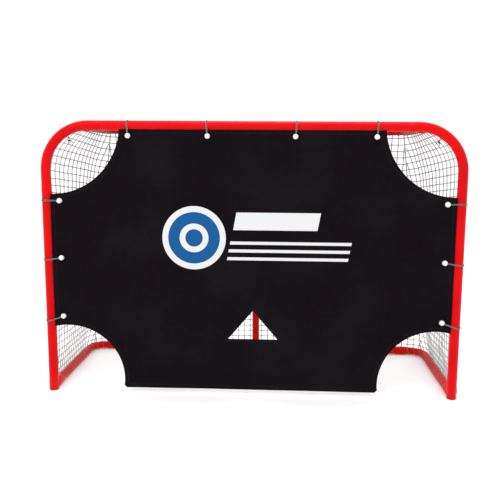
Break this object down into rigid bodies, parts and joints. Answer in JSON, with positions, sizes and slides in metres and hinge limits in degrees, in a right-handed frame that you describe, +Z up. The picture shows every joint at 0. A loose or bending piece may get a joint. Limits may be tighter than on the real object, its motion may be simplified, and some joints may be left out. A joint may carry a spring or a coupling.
{
  "type": "hockey goal with shooting target",
  "caption": "Knock-down tubular steel hockey goal with a laced net behind and a target sheet with corner openings held in its mouth by ball bungees.",
  "frame": {"origin": "on the ground, in the middle of the whole goal's width and depth", "axes": "+X across the goal to the right as seen from the front, +Y from the mouth to the back of the net, +Z up"},
  "size_m": [1.9312, 0.7342, 1.2686],
  "materials": {
    "red_powder_coat": "gloss powder coat",
    "black_sheet": "matt coated woven sheet",
    "white_netting": "matt polyester mesh",
    "white_nylon": "satin moulded",
    "grey_elastic": "braided sheath",
    "nickel_plate": "nickel plate",
    "zinc_plate": "zinc plate",
    "spring_steel": "plain",
    "black_plastic": "moulded"
  },
  "bodies": {
    "frame": {"base_arm_left": "red_powder_coat", "base_arm_right": "red_powder_coat", "base_back_bar": "red_powder_coat", "button_spring_base_left": "spring_steel", "button_spring_base_right": "spring_steel", "button_spring_crossbar_left": "spring_steel", "button_spring_crossbar_right": "spring_steel", "centre_post": "red_powder_coat", "cord_left_lower": "grey_elastic", "cord_left_middle": "grey_elastic", "cord_left_upper": "grey_elastic", "cord_right_lower": "grey_elastic", "cord_right_middle": "grey_elastic", "cord_right_upper": "grey_elastic", "cord_top_inner_left": "grey_elastic", "cord_top_inner_right": "grey_elastic", "cord_top_outer_left": "grey_elastic", "cord_top_outer_right": "grey_elastic", "crossbar": "red_powder_coat", "foot_plug_left": "black_plastic", "foot_plug_right": "black_plastic", "front_post_left": "red_powder_coat", "front_post_right": "red_powder_coat", "grommet_left_lower": "nickel_plate", "grommet_left_middle": "nickel_plate", "grommet_left_upper": "nickel_plate", "grommet_right_lower": "nickel_plate", "grommet_right_middle": "nickel_plate", "grommet_right_upper": "nickel_plate", "grommet_top_inner_left": "nickel_plate", "grommet_top_inner_right": "nickel_plate", "grommet_top_outer_left": "nickel_plate", "grommet_top_outer_right": "nickel_plate", "net_back_panel": "white_netting", "net_side_panel_left": "white_netting", "net_side_panel_right": "white_netting", "net_top_panel": "white_netting", "screw_base_left": "zinc_plate", "screw_base_right": "zinc_plate", "screw_centre_post_foot": "zinc_plate", "screw_centre_post_head": "zinc_plate", "screw_shelf_left": "zinc_plate", "screw_shelf_right": "zinc_plate", "shelf_bar": "red_powder_coat", "target_sheet": "black_sheet"},
    "ball_top_inner_left": {"ball_top_inner_left": "white_nylon"},
    "ball_top_inner_right": {"ball_top_inner_right": "white_nylon"},
    "ball_top_outer_left": {"ball_top_outer_left": "white_nylon"},
    "ball_top_outer_right": {"ball_top_outer_right": "white_nylon"},
    "ball_left_upper": {"ball_left_upper": "white_nylon"},
    "ball_right_upper": {"ball_right_upper": "white_nylon"},
    "ball_left_middle": {"ball_left_middle": "white_nylon"},
    "ball_right_middle": {"ball_right_middle": "white_nylon"},
    "ball_left_lower": {"ball_left_lower": "white_nylon"},
    "ball_right_lower": {"ball_right_lower": "white_nylon"},
    "snap_button_crossbar_left": {"snap_button_crossbar_left": "nickel_plate"},
    "snap_button_crossbar_right": {"snap_button_crossbar_right": "nickel_plate"},
    "snap_button_base_left": {"snap_button_base_left": "nickel_plate"},
    "snap_button_base_right": {"snap_button_base_right": "nickel_plate"}
  },
  "joints": [
    {"name": "pull_top_inner_left", "type": "slide", "parent": "frame", "child": "ball_top_inner_left", "axis": [0, -1, 0], "range_m": [0, 0.03], "stiffness_N_per_m": 120, "springref_m": -0.025, "deforming": ["cord_top_inner_left"]},
    {"name": "pull_top_inner_right", "type": "slide", "parent": "frame", "child": "ball_top_inner_right", "axis": [0, -1, 0], "range_m": [0, 0.03], "stiffness_N_per_m": 120, "springref_m": -0.025, "deforming": ["cord_top_inner_right"]},
    {"name": "pull_top_outer_left", "type": "slide", "parent": "frame", "child": "ball_top_outer_left", "axis": [0, -1, 0], "range_m": [0, 0.03], "stiffness_N_per_m": 120, "springref_m": -0.025, "deforming": ["cord_top_outer_left"]},
    {"name": "pull_top_outer_right", "type": "slide", "parent": "frame", "child": "ball_top_outer_right", "axis": [0, -1, 0], "range_m": [0, 0.03], "stiffness_N_per_m": 120, "springref_m": -0.025, "deforming": ["cord_top_outer_right"]},
    {"name": "pull_left_upper", "type": "slide", "parent": "frame", "child": "ball_left_upper", "axis": [0, -1, 0], "range_m": [0, 0.03], "stiffness_N_per_m": 120, "springref_m": -0.025, "deforming": ["cord_left_upper"]},
    {"name": "pull_right_upper", "type": "slide", "parent": "frame", "child": "ball_right_upper", "axis": [0, -1, 0], "range_m": [0, 0.03], "stiffness_N_per_m": 120, "springref_m": -0.025, "deforming": ["cord_right_upper"]},
    {"name": "pull_left_middle", "type": "slide", "parent": "frame", "child": "ball_left_middle", "axis": [0, -1, 0], "range_m": [0, 0.03], "stiffness_N_per_m": 120, "springref_m": -0.025, "deforming": ["cord_left_middle"]},
    {"name": "pull_right_middle", "type": "slide", "parent": "frame", "child": "ball_right_middle", "axis": [0, -1, 0], "range_m": [0, 0.03], "stiffness_N_per_m": 120, "springref_m": -0.025, "deforming": ["cord_right_middle"]},
    {"name": "pull_left_lower", "type": "slide", "parent": "frame", "child": "ball_left_lower", "axis": [0, -1, 0], "range_m": [0, 0.03], "stiffness_N_per_m": 120, "springref_m": -0.025, "deforming": ["cord_left_lower"]},
    {"name": "pull_right_lower", "type": "slide", "parent": "frame", "child": "ball_right_lower", "axis": [0, -1, 0], "range_m": [0, 0.03], "stiffness_N_per_m": 120, "springref_m": -0.025, "deforming": ["cord_right_lower"]},
    {"name": "press_crossbar_left", "type": "slide", "parent": "frame", "child": "snap_button_crossbar_left", "axis": [0, -1, 0], "range_m": [0, 0.0055], "stiffness_N_per_m": 400, "springref_m": -0.003, "deforming": ["button_spring_crossbar_left"]},
    {"name": "press_crossbar_right", "type": "slide", "parent": "frame", "child": "snap_button_crossbar_right", "axis": [0, -1, 0], "range_m": [0, 0.0055], "stiffness_N_per_m": 400, "springref_m": -0.003, "deforming": ["button_spring_crossbar_right"]},
    {"name": "press_base_left", "type": "slide", "parent": "frame", "child": "snap_button_base_left", "axis": [0, 0, -1], "range_m": [0, 0.0065], "stiffness_N_per_m": 400, "springref_m": -0.003, "deforming": ["button_spring_base_left"]},
    {"name": "press_base_right", "type": "slide", "parent": "frame", "child": "snap_button_base_right", "axis": [0, 0, -1], "range_m": [0, 0.0065], "stiffness_N_per_m": 400, "springref_m": -0.003, "deforming": ["button_spring_base_right"]}
  ]
}
